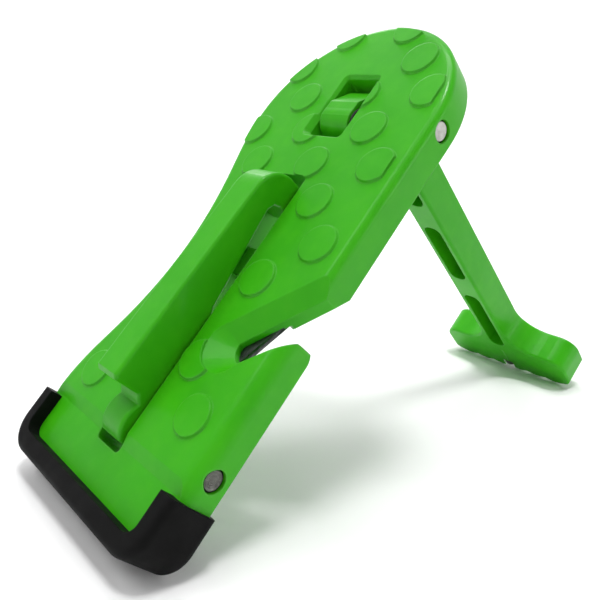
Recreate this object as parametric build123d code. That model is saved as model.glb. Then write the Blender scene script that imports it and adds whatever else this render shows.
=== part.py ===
"""Folding metal foot step that also stands as a wheel chock.

The casting is drawn flat: x runs from heel to toe, y to the left, z out of the tread.
main() then tips everything up so that the heel bumper and the T foot of the brace
rest on the ground, which is how the chock is used.
"""
from build123d import *
from math import atan2, cos, degrees, radians, sin, sqrt
import os

# ---- casting -------------------------------------------------------------------
LENGTH = 179.2            # heel edge to toe, without the rubber
HALF_WIDTH = 40.0
THICK = 11.5
SKIN = 3.6                # tread thickness over the pockets below
WALL = 3.6
WAIST_X, WAIST_Y = 80.0, 28.4
HEEL_FLAT_X = 14.5        # the seat for the raised hook ends here
HEEL_FLAT_DROP = 1.0
RAMP_X = 18.5
SHOULDER_R, SHOULDER_X = 5.0, 66.0  # right hand edge beside the heel, up to the notch
EDGE_R = 2.6              # every other tread edge

SLOT_X0, SLOT_X1 = 12.2, 112.4
SLOT_HALF = 6.5
BRIDGE_X0, BRIDGE_X1, BRIDGE_TOP = 76.5, 87.0, -7.2
WINDOW_X0, WINDOW_X1, WINDOW_HALF = 130.0, 155.0, 7.4

# ---- studs: one skewed lattice, a few places left out ------------------------------
STUD_R, STUD_H = 6.5, 0.8
STUD_ORIGIN = (118.0, -4.2)
STUD_STEP_A = (29.2, -1.5)
STUD_STEP_B = (13.4, 12.2)
STUD_PLACES = {-2: (-2, 0, 1, 2), -1: (-2, -1, 0, 1, 2), 0: (0, 1, 2), 1: (0,), 2: (-4, -1, 0, 1), 3: (-1, 0)}
STUD_RIM = 2.2            # studs stop this far inside the outline
STUD_RIGHT = -35.3        # and here along the straight right side

# ---- latch hook ------------------------------------------------------------------
HOOK_PIN = (22.2, -6.2)   # x, z
HOOK_HALF = 5.7           # half the arm's width
HOOK_R = 9.4              # crest of the knuckle over the tread
HOOK_BACK_R = 6.9         # the knuckle's other side, which hangs below when raised
HOOK_FACE_X = 29.0
HOOK_TOP_HEEL, HOOK_TOP_TOE = 14.3, 12.7
HOOK_TIP_X = 108.8
HOOK_NOSE_R = 10.5        # round from the top of the arm down to the tip
THROAT_X0, THROAT_X1, THROAT_Z = 62.0, 99.5, 4.0
BEAK_Z = -8.5

# ---- brace -----------------------------------------------------------------------
BRACE_PIN = (139.4, -5.6)
BRACE_HALF = 6.4
BRACE_TILT = 2.4          # degrees off square, towards the heel
BRACE_FACE = 8.0          # pin axis to the heel side face of the bar
BRACE_THICK = 14.4
BRACE_KNUCKLE_R = 6.1
SOLE = 177.0              # pin axis to the crests of the sole
FOOT_HALF = 33.0
FOOT_TALL = 21.0
FOOT_NECK_R = 14.0
FOOT_END_R = 8.0
SOLE_WAVE, SOLE_WAVES = 1.4, 6
POCKET_HALF, POCKET_DEPTH = 4.0, 9.5
POCKETS = ((17.0, 51.5), (64.5, 100.0), (113.0, 156.0))  # from the pin axis, along the bar
SHOULDER_GAP = 0.35       # brace shoulder to the underside of the casting, leg out
STUD_INSET, STUD_CUP_R, STUD_CUP_DEEP, SOLE_STUD_R = 2.8, 3.9, 5.5, 2.7

# ---- pins and small steel --------------------------------------------------------
PIN_R = 3.0
PIN_BORE_R = 3.04         # in the casting
PIN_MOUTH_R = 3.4         # relief ring round each pin end
PIN_SET_BACK = 0.5
KNUCKLE_BORE_R = 3.06     # in the hook and the brace
WASHER_R = 5.2
WASHER_GAP = 0.1
PIN_END_Y = 15.0          # blind end of both pins
TIP_Z, TIP_R, TIP_OUT = -4.6, 1.9, 2.0  # glass breaker point in the toe

# ---- bumper ----------------------------------------------------------------------
BUMPER_LIP = 3.4
BUMPER_BACK = 5.8
BUMPER_ARM_X = 14.0
BUMPER_LIP_HALF = 35.0
BUMPER_TOP_HALF = 40.6
BUMPER_FOOT_HALF = 41.8
BUMPER_CORNER_R = 10.0
BUMPER_Z = -13.6
BUMPER_EDGE_R = 2.4
LEG_GAP_HALF = 9.0        # the folded brace lies in this gap under the bumper
BUMPER_SCREWS = ((7.0, -26.0), (7.0, 26.0))
BUMPER_SCREW_R, BUMPER_SCREW_HEAD_R, BUMPER_SCREW_HEAD_T = 1.5, 3.0, 1.4
BUMPER_SCREW_TOP = -5.0

# ---- belt cutter -------------------------------------------------------------------
NOTCH_HEEL = (51.1, -27.2)
NOTCH_ROOT = (56.2, -20.6)
NOTCH_MIDDLE = (51.9, -22.6)
NOTCH_MOUTH_X = 82.2      # toe side of the mouth, 4 mm outside the casting
NOTCH_SLOPE_HEEL = -1.035
DISH_HEEL, DISH_MIDDLE, DISH_ROOT = (50.2, -28.0), (45.2, -19.0), (58.9, -14.6)
DISH_MOUTH_X = 88.9
BEVEL_DROP = 3.7
UNDERCUT = 3.2            # chamfer under the toe side of the notch
MOUTH_R = 5.0             # lower corner of the heel block
BLADE_Z, BLADE_T = -7.0, 1.2
EDGE_MOUTH, EDGE_DEEP = (67.5, -30.2), (51.8, -23.4)  # ends of the cutting edge
CLAMP_T = 2.4
BLADE_SCREW_R, BLADE_SCREW_HEAD_R, BLADE_SCREW_HEAD_T = 1.0, 1.9, 1.2
BLADE_SCREWS = ((60.4, -17.8), (68.3, -21.2))


def sketch_face(*edges):
    """A face bounded by the edges given in order."""
    return make_face(Wire(list(edges)))


def prism(face, z0, z1):
    """Extrude a face drawn at z = 0 between two heights."""
    return extrude(Pos(0, 0, z0) * face, z1 - z0, dir=(0, 0, 1))


def side_prism(points, half, y_mid=0.0):
    """Extrude an outline given as (x, z) points, to both sides of y_mid."""
    plane = Plane(origin=(0, y_mid, 0), x_dir=(1, 0, 0), z_dir=(0, -1, 0))
    return extrude(plane * Polygon(*points, align=None), half, both=True)


def disc(center, radius, half, y_mid=0.0):
    """Cylinder along y about a point (x, z)."""
    turn = Rotation(90, 0, 0)
    return Pos(center[0], y_mid, center[1]) * turn * Cylinder(radius, 2 * half)


def upright(x, y, radius, z0, z1):
    """Cylinder along z between two heights."""
    return Pos(x, y, (z0 + z1) / 2) * Cylinder(radius, z1 - z0)


def block(x0, x1, y0, y1, z0, z1):
    """Box between two corners."""
    return Pos((x0 + x1) / 2, (y0 + y1) / 2, (z0 + z1) / 2) * Box(x1 - x0, y1 - y0, z1 - z0)


def plate_face(inset=0.0):
    """The tread outline: straight right side, waisted left side, round toe."""
    half = HALF_WIDTH - inset
    toe_x = LENGTH - HALF_WIDTH
    right = Line((inset, -half), (toe_x, -half))
    toe = ThreePointArc((toe_x, -half), (toe_x + half, 0), (toe_x, half))
    left = Spline(
        (toe_x, half), (108, 33.4 - inset), (WAIST_X, WAIST_Y - inset), (46, 33.0 - inset), (18, half),
        tangents=((-1, 0), (-1, 0.02)),
    )
    corner = Line((18, half), (inset, half))
    heel = Line((inset, half), (inset, -half))
    return sketch_face(right, toe, left, corner, heel)


def notch_wire(root, middle, heel, toe_mouth_x):
    """Outline of the cutter notch in plan: toe side, round root, heel side, open mouth."""
    out = HALF_WIDTH + 4.0
    toe_mouth = (toe_mouth_x, -out)
    heel_mouth = (heel[0] + (out + heel[1]) / -NOTCH_SLOPE_HEEL, -out)
    return Wire([
        Line(toe_mouth, root),
        ThreePointArc(root, middle, heel),
        Line(heel, heel_mouth),
        Line(heel_mouth, toe_mouth),
    ])


def notch_solid():
    """The open mouth, the dished bevel that leads into it, and a chamfer under its toe side."""
    straight = notch_wire(NOTCH_ROOT, NOTCH_MIDDLE, NOTCH_HEEL, NOTCH_MOUTH_X)
    dished = notch_wire(DISH_ROOT, DISH_MIDDLE, DISH_HEEL, DISH_MOUTH_X)
    mouth = prism(make_face(straight), -THICK - 1, 2.0)
    bevel = Solid.make_loft([dished, Pos(0, 0, -BEVEL_DROP) * straight], True)
    slope_x, slope_y = NOTCH_MOUTH_X - NOTCH_ROOT[0], -HALF_WIDTH - 4.0 - NOTCH_ROOT[1]
    wall = Plane(origin=(*NOTCH_ROOT, -THICK), x_dir=(slope_x, slope_y, 0), z_dir=(0, 0, 1))
    chamfer = wall * Pos(22, 0, 0) * Rotation(45, 0, 0) * Box(36, UNDERCUT * 1.4, UNDERCUT * 1.4)
    return mouth + bevel + prism(make_face(dished), 0.0, 2.0) + chamfer


def mouth_round():
    """Rounds the lower corner of the heel block where the notch meets the right side."""
    corner_x, r = 65.0, MOUTH_R
    inside = Pos(corner_x - r, -HALF_WIDTH + 6, r - THICK) * Rotation(90, 0, 0) * Cylinder(r, 30)
    return block(corner_x - r, corner_x + 3, -HALF_WIDTH - 1, -29, -THICK - 1, r - THICK) - inside


def tread_studs():
    """Low round studs with sloping sides, trimmed to a plain rim."""
    rim = prism(plate_face(STUD_RIM), -1, 2) & block(0, LENGTH, STUD_RIGHT, HALF_WIDTH, -1, 2)
    studs = []
    for row, places in STUD_PLACES.items():
        for place in places:
            x = STUD_ORIGIN[0] + place * STUD_STEP_A[0] + row * STUD_STEP_B[0]
            y = STUD_ORIGIN[1] + place * STUD_STEP_A[1] + row * STUD_STEP_B[1]
            stud = Pos(x, y, STUD_H / 2 - 0.2) * Cone(STUD_R + 0.3, STUD_R - 0.3, STUD_H + 0.4)
            studs.append(stud & rim)
    return studs


def underside_pockets():
    """The hollow between skin, rim and ribs, open downwards."""
    inside = prism(plate_face(WALL), -THICK - 1, -SKIN)
    reach = HALF_WIDTH + 2
    ribs = [
        block(-1, 12.0, -reach, reach, -THICK - 2, 0),
        block(8.0, 116.4, -SLOT_HALF - WALL, SLOT_HALF + WALL, -THICK - 2, 0),
        block(126.0, 159.0, -WINDOW_HALF - WALL, WINDOW_HALF + WALL, -THICK - 2, 0),
        block(HOOK_PIN[0] - 6.4, HOOK_PIN[0] + 6.4, -reach, reach, -THICK - 2, 0),
        block(BRACE_PIN[0] - 6.4, BRACE_PIN[0] + 6.4, -reach, reach, -THICK - 2, 0),
        block(12, LENGTH, 21.0, 23.4, -THICK - 2, 0),
        block(84, LENGTH, -25.4, -23.0, -THICK - 2, 0),
        block(166.0, LENGTH, -5.0, 5.0, -THICK - 2, 0),
    ]
    ribs += [block(x, x + 2.4, -reach, reach, -THICK - 2, 0) for x in (50.0, 78.0, 104.0, 121.0)]
    guard = Polygon((42, -27), (48, -9), (74, -9), (96, -42), (56, -42), align=None)
    ribs.append(prism(guard, -THICK - 2, 0))
    return inside - ribs


def blade_outline():
    """Blade in plan: one long skewed cutting edge, the rest let into the casting."""
    return Polygon(EDGE_MOUTH, EDGE_DEEP, (54.5, -12.8), (72.0, -19.5), align=None)


def plate_blank():
    """The casting's outer shape with its rounded rim, before anything is cut through it."""
    plate = prism(plate_face(), -THICK, 0)
    rim = [e for e in plate.edges() if abs(e.center().Z) < 0.01 and e.center().X > 1]
    plate = fillet(rim, EDGE_R)
    shoulder = block(-1, SHOULDER_X, -HALF_WIDTH - 1, SHOULDER_R - HALF_WIDTH, -SHOULDER_R, 1)
    round_bar = Pos(SHOULDER_X / 2, SHOULDER_R - HALF_WIDTH, -SHOULDER_R) * Rotation(0, 90, 0)
    return plate - (shoulder - round_bar * Cylinder(SHOULDER_R, SHOULDER_X + 14))


def heel_seat():
    """What is taken off the tread so that the raised hook's heel face lands on a flat."""
    low, high = -HEEL_FLAT_DROP, 2
    return side_prism([(-1, low), (HEEL_FLAT_X, low), (RAMP_X, 0), (RAMP_X, high), (-1, high)], 50)


def foot_plate():
    plate = plate_blank()
    plate += tread_studs()
    plate -= heel_seat()
    slot = Pos((SLOT_X0 + SLOT_X1) / 2, 0) * RectangleRounded(SLOT_X1 - SLOT_X0, 2 * SLOT_HALF, 1.6)
    plate -= prism(slot, -THICK - 1, 3)
    plate += block(BRIDGE_X0, BRIDGE_X1, -SLOT_HALF, SLOT_HALF, -THICK, BRIDGE_TOP)
    window = Pos((WINDOW_X0 + WINDOW_X1) / 2, 0) * RectangleRounded(
        WINDOW_X1 - WINDOW_X0, 2 * WINDOW_HALF, 1.0
    )
    plate -= prism(window, -THICK - 1, 3)
    window_bevel = extrude(Pos(0, 0, -1.2) * window, 2.4, taper=-42)
    plate -= window_bevel
    plate -= notch_solid()
    plate -= mouth_round()
    plate -= underside_pockets()
    for x, z in (HOOK_PIN, BRACE_PIN):
        plate -= disc((x, z), PIN_BORE_R, 28.5, -HALF_WIDTH + 28)
        plate -= disc((x, z), PIN_MOUTH_R, 1.4, -HALF_WIDTH)
    plate -= prism(blade_outline(), -THICK - 1, BLADE_Z + BLADE_T)
    for x, y in BLADE_SCREWS:
        plate -= upright(x, y, BLADE_SCREW_R, BLADE_Z, BLADE_Z + 4)
    for x, y in BUMPER_SCREWS:
        plate -= upright(x, y, BUMPER_SCREW_R, -THICK - 1, BUMPER_SCREW_TOP)
    plate -= Pos(LENGTH - 5, 0, TIP_Z) * Rotation(0, 90, 0) * Cylinder(TIP_R, 14)
    return plate


def breaker_tip():
    """Hardened point pressed into the toe."""
    turn = Rotation(0, 90, 0)
    shank = Pos(LENGTH - 6, 0, TIP_Z) * turn * Cylinder(TIP_R, 12)
    point = Pos(LENGTH + TIP_OUT / 2, 0, TIP_Z) * turn * Cone(TIP_R, 0.5, TIP_OUT)
    return shank + point


def pin(center, y_far):
    """Plain pin from just inside the right wall to its blind end, with dished face."""
    y_near = -HALF_WIDTH + PIN_SET_BACK
    half = (y_far - y_near) / 2
    rod = disc(center, PIN_R, half, y_near + half)
    dish = Pos(center[0], y_near - 11.4, center[1]) * Sphere(12.0)
    return rod - dish


def washers(center, knuckle_half, gap_half):
    """One thin washer on each side, between the knuckle and the wall of its opening."""
    mid = (knuckle_half + gap_half) / 2
    half = (gap_half - knuckle_half) / 2 - WASHER_GAP
    ring = disc(center, WASHER_R, half) - disc(center, KNUCKLE_BORE_R, half + 1)
    return [Pos(0, side * mid, 0) * ring for side in (-1, 1)]


def latch_hook():
    px, pz = HOOK_PIN
    knuckle = disc(HOOK_PIN, HOOK_R, HOOK_HALF)
    knuckle &= block(px - HOOK_BACK_R, px + 20, -20, 20, -THICK + 0.1, 20)
    arm = side_prism(
        [
            (px, pz), (px + 3.0, 1.6), (HOOK_FACE_X - 2.2, 2.2), (HOOK_FACE_X, 4.2),
            (HOOK_FACE_X, HOOK_TOP_HEEL - 1.2), (HOOK_FACE_X + 1.2, HOOK_TOP_HEEL),
            (HOOK_TIP_X, HOOK_TOP_TOE), (HOOK_TIP_X, BEAK_Z + 3), (HOOK_TIP_X - 2, BEAK_Z),
            (THROAT_X1 + 2, BEAK_Z),
            (THROAT_X1, BEAK_Z + 2), (THROAT_X1, THROAT_Z - 3.2), (THROAT_X1 - 1, THROAT_Z - 1),
            (THROAT_X1 - 3.4, THROAT_Z), (THROAT_X0, -0.4), (THROAT_X0 - 8, -4.6), (px + 10, -10.4),
            (px, -10.4),
        ],
        HOOK_HALF,
    )
    nose = max(arm.edges().filter_by(Axis.Y), key=lambda e: e.center().X + 2 * e.center().Z)
    hook = knuckle + fillet(nose, HOOK_NOSE_R)
    sides = hook.faces().filter_by(Axis.Y)
    rim = [e for f in sides for e in f.edges() if e.center().Z > -3 and e.center().X > px - 9]
    hook = fillet(rim, 1.1)
    return hook - disc(HOOK_PIN, KNUCKLE_BORE_R, 20)


def brace_side(dx, dz):
    """Plate coordinates of a point given from the brace pin axis."""
    return (BRACE_PIN[0] + dx, BRACE_PIN[1] + dz)


def mirrored(points):
    """The same points on the other side of the bar."""
    return [(-u, v) for u, v in points]


def foot_wire():
    """Front view of bar and T foot; u runs across, v is minus the distance from the pin."""
    top, half, bar, neck, end = -(SOLE - FOOT_TALL), FOOT_HALF, BRACE_HALF, FOOT_NECK_R, FOOT_END_R
    on_arc = 1 - sqrt(0.5)
    tread_v, toe = -SOLE + SOLE_WAVE, 4.0
    side_runs = [
        [(bar, 0), (bar, top + neck)],
        [(bar, top + neck), (bar + neck * on_arc, top + neck * on_arc), (bar + neck, top)],
        [(bar + neck, top), (half - end, top)],
        [(half - end, top), (half - end * on_arc, top - end * on_arc), (half, top - end)],
        [(half, top - end), (half, tread_v + toe)],
        [(half, tread_v + toe), (half - toe * 0.36, tread_v + toe * 0.36), (half - toe, tread_v)],
    ]
    edges = [Line((-bar, 0), (bar, 0))]
    for run in side_runs:
        edges.append(ThreePointArc(*run) if len(run) == 3 else Line(*run))
    step = 2 * (half - toe) / SOLE_WAVES
    for i in range(SOLE_WAVES):
        u = half - toe - i * step
        edges.append(ThreePointArc((u, tread_v), (u - step / 2, -SOLE), (u - step, tread_v)))
    for run in reversed(side_runs):
        back = mirrored(reversed(run))
        edges.append(ThreePointArc(*back) if len(run) == 3 else Line(*back))
    return Wire(edges)


def in_leg(shape):
    """Tilt something drawn along -Z at the origin and hang it from the brace pin."""
    return Pos(BRACE_PIN[0], 0, BRACE_PIN[1]) * Rotation(0, BRACE_TILT, 0) * shape


def brace_leg():
    front = Plane(origin=(BRACE_FACE, 0, 0), x_dir=(0, 1, 0), z_dir=(1, 0, 0))
    bar = extrude(front * make_face(foot_wire()), BRACE_THICK)
    outer = [e for f in bar.faces().filter_by(Axis.X) for e in f.edges()]
    bar = fillet([e for e in outer if -SOLE + 6 < e.center().Z < -2], 1.2)
    for w0, w1 in POCKETS:
        pocket = Pos(0, -(w0 + w1) / 2) * RectangleRounded(2 * POCKET_HALF, w1 - w0, 3.6)
        bar -= extrude(front * pocket, POCKET_DEPTH)
    stud_u = BRACE_FACE + STUD_INSET
    bar -= upright(stud_u, 0, STUD_CUP_R, -SOLE - 2, -SOLE + STUD_CUP_DEEP)
    bar -= upright(stud_u, 0, SOLE_STUD_R, -SOLE + STUD_CUP_DEEP, -SOLE + 16)
    bar = in_leg(bar)
    top_z = -THICK - SHOULDER_GAP
    bar -= block(100, 200, -50, 50, top_z, 20)
    lobe = disc(BRACE_PIN, BRACE_KNUCKLE_R, BRACE_HALF)
    lobe += side_prism(
        [
            brace_side(-2.5, 5.5), brace_side(-1.5, 6.0), brace_side(4.4, 5.9), brace_side(12.6, 1.2),
            brace_side(13.0, 0.0), brace_side(13.0, -9.0), brace_side(BRACE_FACE, -9.0), brace_side(0, -6.05),
            brace_side(0, 0),
        ],
        BRACE_HALF,
    )
    leg = bar + lobe
    return leg - disc(BRACE_PIN, KNUCKLE_BORE_R, 20)


def sole_stud():
    """Steel point set in a cup of the sole, short of the tread."""
    tip, taper = -SOLE + 0.6, 2.6
    body = upright(0, 0, SOLE_STUD_R, tip + taper, -SOLE + 16)
    point = Pos(0, 0, tip + taper / 2) * Rotation(180, 0, 0) * Cone(SOLE_STUD_R, 0.9, taper)
    return in_leg(Pos(BRACE_FACE + STUD_INSET, 0, 0) * (body + point))


def bumper_section(half_width, z):
    """Rounded D at one height; the arms end square at BUMPER_ARM_X."""
    corner = BUMPER_CORNER_R
    back, arm = -BUMPER_BACK, BUMPER_ARM_X
    on_arc = corner * (1 - sqrt(0.5))
    edges = [
        Line((arm, -half_width), (arm, half_width)),
        Line((arm, half_width), (back + corner, half_width)),
        ThreePointArc(
            (back + corner, half_width), (back + on_arc, half_width - on_arc), (back, half_width - corner)
        ),
        Line((back, half_width - corner), (back, corner - half_width)),
        ThreePointArc(
            (back, corner - half_width), (back + on_arc, on_arc - half_width), (back + corner, -half_width)
        ),
        Line((back + corner, -half_width), (arm, -half_width)),
    ]
    return Pos(0, 0, z) * Wire(edges)


def heel_bumper():
    """Rubber boot round the heel, with a lip above it and two pads below."""
    boot = Solid.make_loft(
        [bumper_section(BUMPER_FOOT_HALF, BUMPER_Z), bumper_section(BUMPER_TOP_HALF, BUMPER_LIP)], True
    )
    around = [e for e in boot.edges() if e.center().X < BUMPER_ARM_X - 0.5]
    rims = [e for e in around if min(abs(e.center().Z - z) for z in (BUMPER_LIP, BUMPER_Z)) < 0.01]
    boot = fillet(rims, BUMPER_EDGE_R)
    boot -= plate_blank() - heel_seat()
    tray = Pos(0.4 + 15, 0, 0) * Box(30, 2 * BUMPER_LIP_HALF, 20)
    boot -= Pos(0, 0, 10 - HEEL_FLAT_DROP) * fillet(tray.edges().filter_by(Axis.Z), 4.0)
    boot -= block(-20, 40, -LEG_GAP_HALF, LEG_GAP_HALF, BUMPER_Z - 1, -THICK)
    for x, y in BUMPER_SCREWS:
        boot -= upright(x, y, BUMPER_SCREW_HEAD_R, BUMPER_Z - 1, BUMPER_Z + 1.8)
        boot -= upright(x, y, BUMPER_SCREW_R, BUMPER_Z, BUMPER_Z + 4)
    return boot


def bumper_screws():
    screws = []
    for x, y in BUMPER_SCREWS:
        under_head = BUMPER_Z + 1.8
        head = upright(x, y, BUMPER_SCREW_HEAD_R, under_head - BUMPER_SCREW_HEAD_T, under_head)
        screws.append(head + upright(x, y, BUMPER_SCREW_R, under_head, BUMPER_SCREW_TOP))
    return screws


def cutter_blade():
    blade = prism(blade_outline(), BLADE_Z, BLADE_Z + BLADE_T)
    for x, y in BLADE_SCREWS:
        blade -= upright(x, y, BLADE_SCREW_R, BLADE_Z - 1, BLADE_Z + 3)
    along = (EDGE_DEEP[0] - EDGE_MOUTH[0], EDGE_DEEP[1] - EDGE_MOUTH[1], 0)
    edge_cut = Plane(origin=(*EDGE_MOUTH, BLADE_Z + BLADE_T), x_dir=along, z_dir=(0, 0, 1))
    wedge = edge_cut * Pos(8, 0, 0) * Rotation(0, 90, 0) * Cylinder(0.9, 40)
    return blade - wedge


def blade_clamp():
    inner = Polygon((65.5, -25.6), (57.4, -22.2), (55.2, -14.0), (70.5, -19.6), align=None)
    clamp = prism(inner, BLADE_Z - CLAMP_T, BLADE_Z)
    for x, y in BLADE_SCREWS:
        clamp -= upright(x, y, BLADE_SCREW_R, BLADE_Z - CLAMP_T - 1, BLADE_Z + 1)
    return clamp


def blade_screws():
    screws = []
    for x, y in BLADE_SCREWS:
        under_head = BLADE_Z - CLAMP_T
        head = upright(x, y, BLADE_SCREW_HEAD_R, under_head - BLADE_SCREW_HEAD_T, under_head)
        screws.append(head + upright(x, y, BLADE_SCREW_R, under_head, BLADE_Z + 4))
    return screws


# ---- standing the step up as a chock -----------------------------------------------
# The bumper's lower back edge and the sole's heel side edge touch the ground together.
HEEL_CONTACT = (-BUMPER_BACK + BUMPER_EDGE_R, BUMPER_Z + BUMPER_EDGE_R)
TILT = radians(BRACE_TILT)
SOLE_CONTACT = (
    BRACE_PIN[0] + BRACE_FACE * cos(TILT) - SOLE * sin(TILT),
    BRACE_PIN[1] - BRACE_FACE * sin(TILT) - SOLE * cos(TILT),
)
SPAN = (SOLE_CONTACT[0] - HEEL_CONTACT[0], HEEL_CONTACT[1] - SOLE_CONTACT[1])
REACH = sqrt(SPAN[0] ** 2 + SPAN[1] ** 2)
INCLINE = degrees(atan2(SPAN[1], SPAN[0])) - degrees(BUMPER_EDGE_R / REACH)


def tipped(x, z):
    """World x and z of a plate point before the shift to the origin."""
    c, s = cos(radians(INCLINE)), sin(radians(INCLINE))
    return (x * c - z * s, x * s + z * c)


def main():
    os.makedirs("parts", exist_ok=True)
    parts = {
        "foot_plate": foot_plate(),
        "heel_bumper": heel_bumper(),
        "bumper_screws": bumper_screws(),
        "glass_breaker_tip": breaker_tip(),
        "latch_pin": pin(HOOK_PIN, PIN_END_Y),
        "brace_pin": pin(BRACE_PIN, PIN_END_Y),
        "belt_cutter_blade": cutter_blade(),
        "blade_clamp": blade_clamp(),
        "blade_screws": blade_screws(),
        "latch_washers": washers(HOOK_PIN, HOOK_HALF, SLOT_HALF),
        "brace_washers": washers(BRACE_PIN, BRACE_HALF, WINDOW_HALF),
        "latch_hook": latch_hook(),
        "brace_leg": brace_leg(),
        "sole_stud": sole_stud(),
    }
    tip_up = Rotation(0, -INCLINE, 0)
    stood = {
        name: [tip_up * solid for solid in (shape if isinstance(shape, list) else [shape])]
        for name, shape in parts.items()
    }
    everything = Compound([solid for solids in stood.values() for s in solids for solid in s.solids()])
    box = everything.bounding_box()
    shift = Pos(-(box.min.X + box.max.X) / 2, -(box.min.Y + box.max.Y) / 2, -box.min.Z)
    for name, solids in stood.items():
        moved = [solid for s in solids for solid in (shift * s).solids()]
        export_step(moved[0] if len(moved) == 1 else Compound(moved), f"parts/{name}.step")
        print(name, len(moved), round(sum(s.volume for s in moved)))
    print("incline", round(INCLINE, 3), "size", box.size)
    for name, (x, z) in (("latch", HOOK_PIN), ("brace", BRACE_PIN)):
        wx, wz = tipped(x, z)
        print(name, "pin at", round(wx + shift.position.X, 3), round(wz + shift.position.Z, 3))
    print("shift", tuple(round(v, 4) for v in shift.position))


if __name__ == "__main__":
    main()
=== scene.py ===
# %% [markdown]
# A folding foot step for cars that also stands as a wheel chock: a studded die-cast plate, a hook that
# folds up out of a slot, a brace with a T-shaped foot, and a rubber boot round the heel. It could all be
# built again here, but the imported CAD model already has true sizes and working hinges, so that model is the
# frame: it is loaded first, its size is kept, and every later piece rides on one of its bodies.

# %% Load the frame
import bpy
import numpy as np
from mathutils import Matrix, Vector


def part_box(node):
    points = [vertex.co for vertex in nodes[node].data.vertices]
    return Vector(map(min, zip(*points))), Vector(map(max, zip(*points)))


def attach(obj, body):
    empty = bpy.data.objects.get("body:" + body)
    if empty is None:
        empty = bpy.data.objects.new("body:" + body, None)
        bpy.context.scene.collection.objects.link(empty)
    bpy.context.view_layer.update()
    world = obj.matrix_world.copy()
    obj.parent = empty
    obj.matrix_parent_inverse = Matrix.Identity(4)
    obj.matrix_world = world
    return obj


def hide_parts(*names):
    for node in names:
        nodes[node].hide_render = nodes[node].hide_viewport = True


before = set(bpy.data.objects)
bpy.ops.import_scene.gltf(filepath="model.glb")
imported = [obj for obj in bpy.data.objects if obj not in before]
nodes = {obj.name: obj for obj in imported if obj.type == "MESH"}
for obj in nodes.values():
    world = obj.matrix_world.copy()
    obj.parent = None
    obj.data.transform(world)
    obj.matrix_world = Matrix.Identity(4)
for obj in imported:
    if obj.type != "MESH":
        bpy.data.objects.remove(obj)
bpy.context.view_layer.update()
scene = bpy.context.scene

# %% [markdown]
# The casting is easiest to think of lying flat: x from heel to toe, y to the left, z out of the tread, in
# millimetres. The frame stands it up on its heel and its brace. The turn between the two could be typed in
# as an angle, but two pins whose flat places are known give it exactly, and still do if the frame changes.

# %% From the flat plate to the standing frame
LATCH_PIN = (22.2, -6.2)     # x, z on the flat plate
BRACE_PIN = (139.4, -5.6)


def middle(node):
    low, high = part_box(node)
    return np.array((low + high) / 2) * 1000


seen_a, seen_b = middle("latch_pin"), middle("brace_pin")
flat_turn = np.arctan2(BRACE_PIN[1] - LATCH_PIN[1], BRACE_PIN[0] - LATCH_PIN[0])
seen_turn = np.arctan2(seen_b[2] - seen_a[2], seen_b[0] - seen_a[0])
INCLINE = seen_turn - flat_turn
COS, SIN = np.cos(INCLINE), np.sin(INCLINE)
SHIFT_X = seen_a[0] - (LATCH_PIN[0] * COS - LATCH_PIN[1] * SIN)
SHIFT_Z = seen_a[2] - (LATCH_PIN[0] * SIN + LATCH_PIN[1] * COS)


def turned(v):
    """Directions: x and z turned by the incline about y."""
    v = np.asarray(v, float)
    return np.stack([v[..., 0] * COS - v[..., 2] * SIN, v[..., 1], v[..., 0] * SIN + v[..., 2] * COS], -1)


def placed(p):
    """Points: turned, shifted, and brought from millimetres to metres."""
    return (turned(p) + np.array([SHIFT_X, 0, SHIFT_Z])) / 1000


print("incline", np.degrees(INCLINE).round(3), "shift", np.round([SHIFT_X, SHIFT_Z], 2))

# %% [markdown]
# Materials are node trees. Each could be wired up by hand, but they share the same few moves: a noise, a
# remap, a mix, a bump. One small class makes a Principled material with those moves as methods, so each
# finish below says only what makes it different. Patterns read Object coordinates, in metres.

# %% Material helpers


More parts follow.
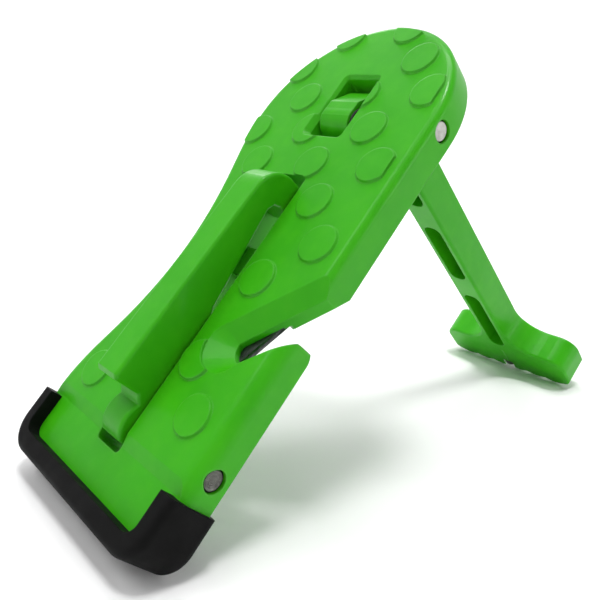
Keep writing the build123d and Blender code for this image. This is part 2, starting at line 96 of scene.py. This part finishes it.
class Finish:
    """A Principled material with short ways to add noise, ramps, bumps and edge masks."""

    def __init__(self, name, **sockets):
        self.mat = bpy.data.materials.new(name)
        self.mat.use_nodes = True
        self.tree = self.mat.node_tree
        self.shader = next(n for n in self.tree.nodes if n.type == "BSDF_PRINCIPLED")
        self.coords = self.tree.nodes.new("ShaderNodeTexCoord")
        for socket, value in sockets.items():
            self.shader.inputs[socket.replace("_", " ")].default_value = value

    def node(self, kind, **values):
        made = self.tree.nodes.new("ShaderNode" + kind)
        for key, value in values.items():
            if key in made.inputs.keys():
                made.inputs[key].default_value = value
            else:
                setattr(made, key, value)
        return made

    def link(self, source, target):
        self.tree.links.new(source, target)

    def noise(self, scale, detail=3.0, rough=0.5, stretch=None):
        made = self.node("TexNoise", Scale=scale, Detail=detail, Roughness=rough)
        source = self.coords.outputs["Object"]
        if stretch:
            mapping = self.node("Mapping")
            mapping.inputs["Scale"].default_value = stretch
            self.link(source, mapping.inputs["Vector"])
            source = mapping.outputs["Vector"]
        self.link(source, made.inputs["Vector"])
        return made.outputs["Fac"]

    def remap(self, value, low, high, to_low, to_high):
        made = self.node("MapRange")
        for socket, number in zip(("From Min", "From Max", "To Min", "To Max"), (low, high, to_low, to_high)):
            made.inputs[socket].default_value = number
        self.link(value, made.inputs["Value"])
        return made.outputs["Result"]

    def mix(self, factor, a, b):
        made = self.node("Mix", data_type="RGBA")
        for socket, colour in ((6, a), (7, b)):
            if isinstance(colour, tuple):
                made.inputs[socket].default_value = (*colour, 1)
            else:
                self.link(colour, made.inputs[socket])
        self.link(factor, made.inputs[0])
        return made.outputs[2]

    def tint(self, pattern, low, high, a, b):
        """Base colour that drifts from a to b as the pattern rises from low to high."""
        drifting = self.mix(self.remap(pattern, low, high, 0, 1), a, b)
        self.link(drifting, self.shader.inputs["Base Color"])

    def dull(self, pattern, low, high, least, most):
        """Roughness from least to most as the pattern rises from low to high."""
        self.link(self.remap(pattern, low, high, least, most), self.shader.inputs["Roughness"])

    def edges(self, radius, low, high):
        """1 on convex and concave edges: where the rounded normal leaves the true one."""
        bevel = self.node("Bevel", samples=4, Radius=radius)
        truth = self.node("NewGeometry")
        dot = self.node("VectorMath", operation="DOT_PRODUCT")
        self.link(bevel.outputs["Normal"], dot.inputs[0])
        self.link(truth.outputs["Normal"], dot.inputs[1])
        return self.remap(dot.outputs["Value"], high, low, 0.0, 1.0)

    def bump(self, heights, round_edges=0.0):
        """Bumps (height, strength, depth in metres) chained over an optional rounding of all edges."""
        normal = None
        if round_edges:
            normal = self.node("Bevel", samples=4, Radius=round_edges).outputs["Normal"]
        for height, strength, depth in heights:
            made = self.node("Bump", Strength=strength, Distance=depth)
            self.link(height, made.inputs["Height"])
            if normal:
                self.link(normal, made.inputs["Normal"])
            normal = made.outputs["Normal"]
        self.link(normal, self.shader.inputs["Normal"])

    def give(self, *names):
        for name in names:
            for place in nodes[name].material_slots:
                place.material = self.mat
        print(self.mat.name, "on", ", ".join(names))


# %% [markdown]
# Powder coat is baked resin: saturated, satin, a little thick on corners. One flat green would look like
# plastic. So the colour drifts over centimetres, handling has rubbed it lighter in patches, the edges are
# lighter in patches, partly worn and partly a painted highlight, and up close it has orange peel, soft waves
# a millimetre or so across. A thin clear coat gives the two-part highlight that the real finish shows, and a
# Bevel node rounds the edges only for the light.

# %% Green powder coat
GREEN, GREEN_DEEP = (0.036, 0.380, 0.001), (0.030, 0.345, 0.001)
# Edge green, the second colour on the next line: partly wear, partly a painted highlight.
GREEN_RUBBED, GREEN_WEAR_AND_HIGHLIGHT = (0.056, 0.425, 0.004), (0.20, 0.60, 0.13)
EDGE_WEAR_AND_HIGHLIGHT = 0.0009           # metres of edge that the wear and the painted highlight reach
PEEL, WAVE = 1100, 300       # orange peel and the slower waves under it

coat = Finish("green_powder_coat", Specular_IOR_Level=0.19, Coat_Weight=0.13, Coat_Roughness=0.10)
colour = coat.mix(coat.remap(coat.noise(35, 3), 0.35, 0.65, 0, 1), GREEN, GREEN_DEEP)
colour = coat.mix(coat.remap(coat.noise(220, 4), 0.45, 0.75, 0.0, 0.35), colour, GREEN_RUBBED)
# Lighter green on convex and concave edges, in patches: partly wear, partly a painted highlight.
wear_and_highlight = coat.node("Math", operation="MULTIPLY")
coat.link(coat.edges(EDGE_WEAR_AND_HIGHLIGHT, 0.80, 0.97), wear_and_highlight.inputs[0])
coat.link(coat.remap(coat.noise(160, 5, 0.6), 0.35, 0.75, 0.05, 0.55), wear_and_highlight.inputs[1])
coat.link(coat.mix(wear_and_highlight.outputs["Value"], colour, GREEN_WEAR_AND_HIGHLIGHT), coat.shader.inputs["Base Color"])
coat.dull(coat.noise(90, 4), 0.3, 0.7, 0.38, 0.50)
coat.bump([(coat.noise(PEEL, 2), 0.10, 0.00012), (coat.noise(WAVE, 2), 0.10, 0.00016)], round_edges=0.0006)
coat.give("foot_plate", "latch_hook", "brace_leg")

# %% [markdown]
# The boot is moulded rubber: black, dull, with a fine sparked grain from the mould and a grey bloom where
# it has been handled. The grain could be modelled, but it is far finer than a tenth of a millimetre, so a
# bump from a dense noise gives it at no cost, and the bloom is one slow noise in the colour.

# %% Rubber
BLACK, BLOOM = (0.004, 0.004, 0.004), (0.011, 0.011, 0.011)
rubber = Finish("rubber", Specular_IOR_Level=0.07)
bloom = rubber.remap(rubber.noise(60, 5, 0.6), 0.4, 0.75, 0.0, 0.6)
rubber.link(rubber.mix(bloom, BLACK, BLOOM), rubber.shader.inputs["Base Color"])
rubber.dull(rubber.noise(140, 4), 0.3, 0.7, 0.5, 0.68)
grain, pull = rubber.noise(2600, 2), rubber.noise(240, 3)
rubber.bump([(grain, 0.25, 0.00008), (pull, 0.08, 0.0002)], round_edges=0.0007)
rubber.give("heel_bumper")

# %% [markdown]
# The small parts: bright turned steel and a darker copy of it that paints shade onto the pin and the point
# that sit in shadow, zinc screws, a dark ground blade with its grinding lines across the edge, and black
# nylon for the washers. Tool lines could come from a painted image, but a noise
# drawn out along one axis makes them with no seam and at any size.

# %% Steel and nylon
RINGS = (1, 0.1, 1)          # drawn out along y, the axis of the pins

steel = Finish("pin_steel", Metallic=1.0)
steel.tint(steel.noise(500, 4), 0.35, 0.7, (0.50, 0.49, 0.47), (0.36, 0.35, 0.33))
steel.dull(steel.noise(900, 3), 0.3, 0.7, 0.28, 0.5)
steel.bump([(steel.noise(1500, 3, stretch=RINGS), 0.25, 0.00006)], round_edges=0.0003)
steel.give("glass_breaker_tip")

# The pin steel made darker: painted shade for the hook's pin and for the point in its cup.
shaded_steel = Finish("pin_steel_painted_shade", Metallic=1.0)
shaded_steel.tint(shaded_steel.noise(700, 4), 0.35, 0.7, (0.150, 0.150, 0.138), (0.075, 0.075, 0.068))
shaded_steel.dull(shaded_steel.noise(900, 3), 0.3, 0.7, 0.25, 0.45)
shaded_steel.bump([(shaded_steel.noise(1500, 3, stretch=RINGS), 0.25, 0.00006)])

zinc = Finish("screw_steel", Metallic=1.0)
zinc.tint(zinc.noise(400, 3), 0.4, 0.6, (0.55, 0.56, 0.57), (0.42, 0.42, 0.42))
zinc.dull(zinc.noise(700, 3), 0.3, 0.7, 0.3, 0.5)
zinc.bump([(zinc.noise(1800, 2), 0.15, 0.00005)], round_edges=0.0002)
zinc.give("bumper_screws", "blade_clamp", "blade_screws")

blade = Finish("blade_steel", Metallic=1.0)
blade.tint(blade.noise(350, 4, stretch=(1, 6, 1)), 0.35, 0.7, (0.13, 0.13, 0.14), (0.07, 0.07, 0.075))
blade.dull(blade.noise(800, 3, stretch=(1, 8, 1)), 0.3, 0.7, 0.25, 0.45)
blade.bump([(blade.noise(1600, 2, stretch=(1, 10, 1)), 0.2, 0.00004)], round_edges=0.0001)
blade.give("belt_cutter_blade")

nylon = Finish("nylon", Roughness=0.5)
nylon.tint(nylon.noise(300, 3), 0.4, 0.6, (0.018, 0.018, 0.019), (0.028, 0.028, 0.028))
nylon.bump([(nylon.noise(1200, 2), 0.1, 0.00005)])
nylon.give("latch_washers", "brace_washers")

# %% [markdown]
# The two pins and the point under the foot are lathe work, so they are drawn as surfaces of revolution: a
# profile of radius against height, carried round an axis. A cylinder with a bevel would be quicker, but its
# face would be flat. Here each pin's face is dished, and its tool marks are real rings,
# r -> A cos(2 pi r / pitch), which catch the light as the turned steel does. A dark ring of the boot's rubber
# fills the relief that the casting leaves round each pin: painted shade, for the shadow in that gap.

# %% Surfaces of revolution


def turned_piece(name, profile, base, axis, finish, steps=72):
    """p(r, h, t) = base + h a + r (cos t u + sin t v), with u, v square to the axis a; poles are shared."""
    axis = np.asarray(axis, float) / np.linalg.norm(axis)
    u = np.cross(axis, (0.0, 0.0, 1.0) if abs(axis[2]) < 0.9 else (1.0, 0.0, 0.0))
    u /= np.linalg.norm(u)
    v = np.cross(axis, u)
    t = np.linspace(0, 2 * np.pi, steps, endpoint=False)
    r, h = np.asarray(profile, float)[1:-1].T
    spoke = np.cos(t)[:, None] * u + np.sin(t)[:, None] * v
    body = base + h[:, None, None] * axis + r[:, None, None] * spoke
    poles = base + np.array([profile[0][1], profile[-1][1]])[:, None] * axis
    points = np.concatenate([body.reshape(-1, 3), poles])
    rows = len(r)
    index = np.arange(rows * steps).reshape(rows, steps)
    after = np.roll(index, -1, 1)
    quads = np.stack([index[:-1], index[1:], after[1:], after[:-1]], -1).reshape(-1, 4).tolist()
    first = np.stack([np.full(steps, rows * steps), index[0], after[0]], -1).tolist()
    last = np.stack([np.full(steps, rows * steps + 1), after[-1], index[-1]], -1).tolist()
    mesh = bpy.data.meshes.new(name)
    mesh.from_pydata(points.tolist(), [], quads + first + last)
    mesh.polygons.foreach_set("use_smooth", np.ones(len(mesh.polygons), bool))
    mesh.materials.append(finish.mat)
    made = bpy.data.objects.new(name, mesh)
    scene.collection.objects.link(made)
    print(name, "profile points", len(profile), "faces", len(mesh.polygons))
    return made


def ringed_face(radius, pitch, height, dish, count=30):
    """Face profile from the middle out: h(r) = dish ((r/R)^2 - 1) + A cos(2 pi r / pitch)."""
    r = np.linspace(0, 0.86 * radius, count)
    return np.stack([r, dish * ((r / radius) ** 2 - 1) + height * (np.cos(2 * np.pi * r / pitch) - 1)], -1)


# %% [markdown]
# Both pins are driven in from the right side of the casting and end blind inside it. The hook's is drawn in a
# darker copy of the brace's bright steel: painted shade. Their places and sizes could be typed in, but the
# boxes of the CAD pins give them.

# %% Hinge pins and the painted shade round them
RING_PITCH, RING_DEPTH = 0.00062, 0.000045   # metres, as is all that follows
RELIEF = 0.00036             # gap round each pin end in the casting
CLEAR = 0.00002              # keeps the drawn pin off the wall of its bore
OUTWARD = (0, -1, 0)
DISHES = (("latch_pin", shaded_steel, 0.00045), ("brace_pin", steel, 0.00030))

for node, finish, dish in DISHES:
    low, high = (np.array(side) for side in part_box(node))
    radius, length = (high[0] - low[0]) / 2 - CLEAR, high[1] - low[1]
    end = ((low[0] + high[0]) / 2, low[1], (low[2] + high[2]) / 2)
    face = ringed_face(radius, RING_PITCH, RING_DEPTH, dish)
    rim = [(0.93 * radius, -0.00005), (0.97 * radius, -0.00012), (radius, -0.00040)]
    back = [(radius, -length / 2), (radius, 0.0003 - length), (0.94 * radius, -length), (0.0, -length)]
    pin = turned_piece(node + "_turned", [*face, *rim, *back], end, OUTWARD, finish)
    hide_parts(node)
    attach(pin, "step_plate")
    # A dark rubber ring in the relief round each pin end: painted shade, for the shadow in the gap.
    outer = radius + RELIEF
    gap = [(0.0, -0.0011), (0.9 * radius, -0.0011), (radius + 0.0001, -0.0004), (outer - 0.00003, -0.0004),
           (outer, -0.0005), (outer, -0.0013), (0.0, -0.0013)]
    painted_shade_ring = turned_piece(node + "_seal", gap, end, OUTWARD, rubber)
    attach(painted_shade_ring, "step_plate")

# %% [markdown]
# A blunt steel point sits in a cup under the T-shaped foot and bites where the sole's ribs would slip. It
# could be placed by eye, but it stands square to the sole, so it is given along the brace, as the real one
# is set out, and turned with it.

# %% Point under the foot
LEG_TURN = np.radians(2.4)           # the brace off square to the plate
STUD_OUT, STUD_TIP = 10.8, 176.4     # millimetres from the brace pin, across and down the brace
leg_x = np.array([np.cos(LEG_TURN), 0, -np.sin(LEG_TURN)])
leg_z = np.array([np.sin(LEG_TURN), 0, np.cos(LEG_TURN)])
stud_tip = np.array([BRACE_PIN[0], 0, BRACE_PIN[1]]) + STUD_OUT * leg_x - STUD_TIP * leg_z
# radius and height in millimetres, from the flat of the point up to the ceiling of the cup
stud_profile = [(0.0, 0.0), (0.7, -0.02), (1.0, -0.15), (2.3, -1.5), (2.9, -1.65), (3.15, -1.9), (3.2, -2.2),
                (3.2, -4.6), (3.0, -4.8), (0.0, -4.8)]
stud_metres = np.array(stud_profile) / 1000
# The point is drawn in the darker steel: painted shade, for the cup it sits in.
stud = turned_piece("sole_stud_turned", stud_metres, placed(stud_tip), -turned(leg_z), shaded_steel)
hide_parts("sole_stud")
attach(stud, "brace")

# %% [markdown]
# The stage is one pale bowl: a flat floor that curves up into a wall all round, as in a product studio. A
# plain plane would end in a hard horizon. The bowl has none from any side, and it is the same kind of
# surface as the pins: a profile of radius and height carried round a circle.

# %% Floor and backdrop


def sheet_from(name, points):
    """A mesh from a grid of points, rows by columns; each square of neighbours is one face."""
    rows, columns = points.shape[:2]
    index = np.arange(rows * columns).reshape(rows, columns)
    quads = np.stack([index[:-1, :-1], index[1:, :-1], index[1:, 1:], index[:-1, 1:]], -1).reshape(-1, 4)
    mesh = bpy.data.meshes.new(name)
    mesh.from_pydata(points.reshape(-1, 3).tolist(), [], quads.tolist())
    mesh.polygons.foreach_set("use_smooth", np.ones(len(quads), bool))
    made = bpy.data.objects.new(name, mesh)
    scene.collection.objects.link(made)
    return made


FLAT_R, RIM_R, WALL_TOP = 1.3, 2.4, 4.2   # metres: flat floor, round of the rim, top of the wall
bend = np.radians(np.linspace(0, 86, 20))
radius = np.concatenate([[0.0, 0.3, 0.6, 0.9], FLAT_R + RIM_R * np.sin(bend), [FLAT_R + RIM_R * 1.04]])
rise = np.concatenate([[0, 0, 0, 0], RIM_R * (1 - np.cos(bend)), [WALL_TOP]])
turn = np.linspace(0, 2 * np.pi, 97)
out, up = radius[:, None], rise[:, None]
sweep = np.stack([out * np.cos(turn), out * np.sin(turn), up + 0 * turn], -1)
floor = sheet_from("studio_floor", sweep)
print("floor", sweep.shape, "wall radius", radius[-1].round(2), "m")
paper = Finish("studio_paper", Roughness=0.9)
paper.tint(paper.noise(2.0, 2), 0, 1, (0.93, 0.93, 0.93), (0.90, 0.90, 0.90))
floor.data.materials.append(paper.mat)

# %% [markdown]
# A room picture could light the step, but panels let each highlight be placed. Light comes from a dim, even
# room and five soft panels: a large one over the tread, a small bright one overhead that draws the lines
# along the rims, a weak one from the front right for the side walls and the brace, one from behind for the
# far edges, and one turned away from the step that whitens the wall behind it.

# %% Light
ROOM_LIGHT = 0.2
OBJECT_MIDDLE = np.array([0.0, 0.0, 0.07])

world = bpy.data.worlds.new("studio")
world.use_nodes = True
room = world.node_tree.nodes["Background"]
room.inputs["Color"].default_value = (1, 1, 1, 1)
room.inputs["Strength"].default_value = ROOM_LIGHT
scene.world = world


def panel(name, offset, size, power, aim=(0.0, 0.0, 0.0)):
    """A square area light; its place and its aim are both offsets from the object's middle."""
    light = bpy.data.lights.new(name, "AREA")
    light.energy, light.size = power, size
    made = bpy.data.objects.new(name, light)
    made.location = OBJECT_MIDDLE + np.array(offset)
    made.rotation_euler = (Vector(offset) - Vector(aim)).to_track_quat("Z", "Y").to_euler()
    scene.collection.objects.link(made)
    print(name, "panel", size, "m", power, "W")


panel("over_tread", (-1.4, 0.6, 2.2), 1.2, 20.0)
panel("overhead", (-0.05, -0.15, 1.9), 0.40, 18.0)
panel("front_right", (0.9, -1.3, 0.35), 0.6, 3.8)
panel("rim_strip", (0.9, 1.7, 1.5), 0.6, 9.0)
panel("backdrop", (0.6, 0.7, 2.6), 1.6, 60.0, aim=(2.4, 2.6, 0.6))

# %% [markdown]
# The camera stands close to the step, to the right of the heel and a little above, rolled a few degrees. It
# could be aimed with a constraint, but its place and its three directions are known on the flat plate, so
# the same turn that stands the plate up stands the camera up with it.

# %% Camera
LENS, SENSOR = 39.3, 36.0
camera_data = bpy.data.cameras.new("camera")
camera_data.lens, camera_data.sensor_width = LENS, SENSOR
camera_data.clip_start, camera_data.clip_end = 0.01, 20
camera = bpy.data.objects.new("camera", camera_data)
CAMERA_FLAT = (35.6, -161.2, 117.9)       # millimetres, on the flat plate
right, back = turned((0.542, -0.656, -0.525)), turned((-0.216, -0.713, 0.667))
back /= np.linalg.norm(back)
right = right - back * (right @ back)
right /= np.linalg.norm(right)
up = np.cross(back, right)
where = placed(CAMERA_FLAT)
camera.matrix_world = Matrix([[right[i], up[i], back[i], where[i]] for i in range(3)] + [[0, 0, 0, 1]])
scene.collection.objects.link(camera)
scene.camera = camera
print("camera at", where.round(3), "lens", LENS)
scene.view_settings.view_transform = "Standard"
